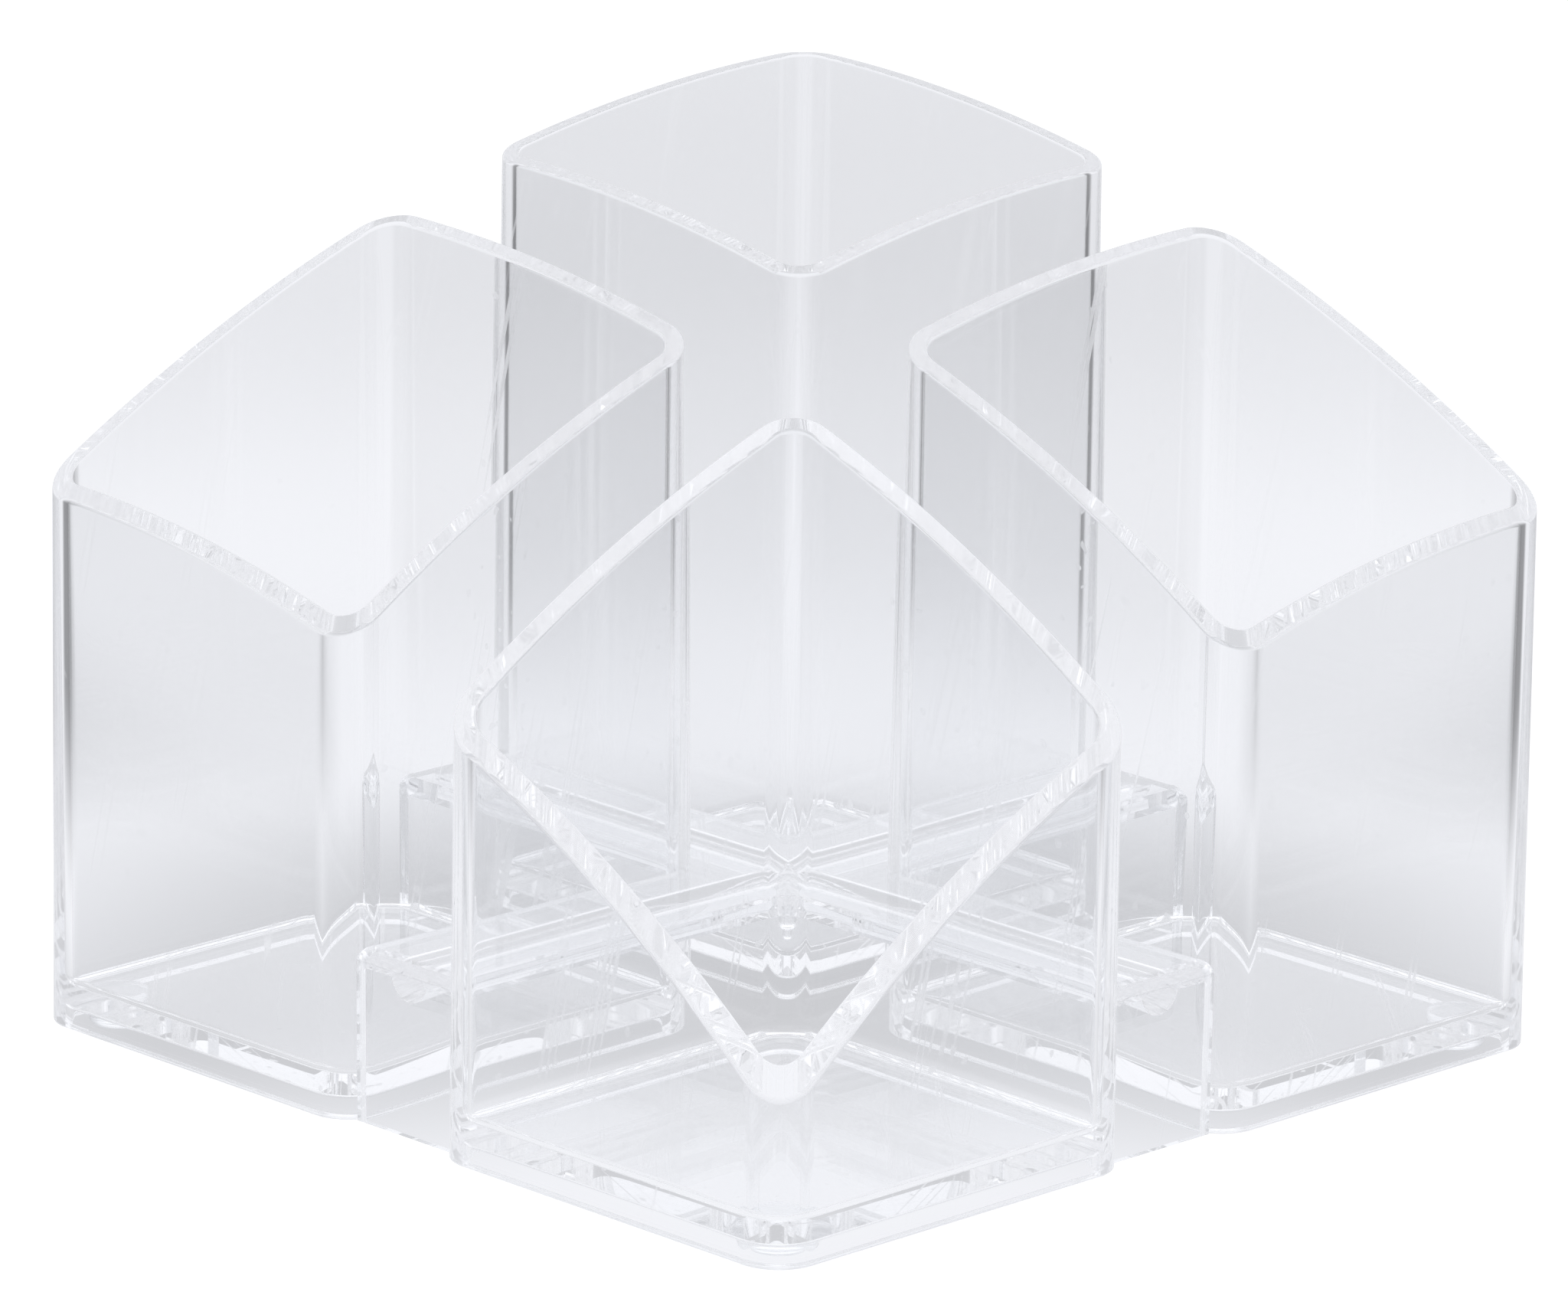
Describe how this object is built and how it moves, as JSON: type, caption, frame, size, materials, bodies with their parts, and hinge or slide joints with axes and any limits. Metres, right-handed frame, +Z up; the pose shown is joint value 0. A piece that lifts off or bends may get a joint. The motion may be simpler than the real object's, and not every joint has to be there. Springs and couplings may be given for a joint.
{
  "type": "desk organizer",
  "caption": "Clear desk organizer with open square cups of stepped height on a low cross-shaped bridge, all rims trimmed by one dome.",
  "frame": {"origin": "middle of the square footprint, on the table", "axes": "+Z up; X and Y along the sides of the square footprint; the low front cup is at +X -Y and the tall back cup at -X +Y"},
  "size_m": [0.12, 0.12, 0.0974],
  "materials": {
    "cup_plastic": "clear, polished",
    "bridge_plastic": "clear, polished",
    "foot_plastic": "clear, lightly frosted"
  },
  "bodies": {
    "root": {"tall_cup": "cup_plastic", "left_cup": "cup_plastic", "right_cup": "cup_plastic", "low_cup": "cup_plastic", "hub": "bridge_plastic", "arm_front_left": "bridge_plastic", "arm_front_right": "bridge_plastic", "arm_back_right": "bridge_plastic", "arm_back_left": "bridge_plastic", "web_front_left": "bridge_plastic", "web_front_right": "bridge_plastic", "web_back_right": "bridge_plastic", "web_back_left": "bridge_plastic", "foot_tall": "foot_plastic", "foot_left": "foot_plastic", "foot_right": "foot_plastic", "foot_low": "foot_plastic"}
  },
  "joints": []
}
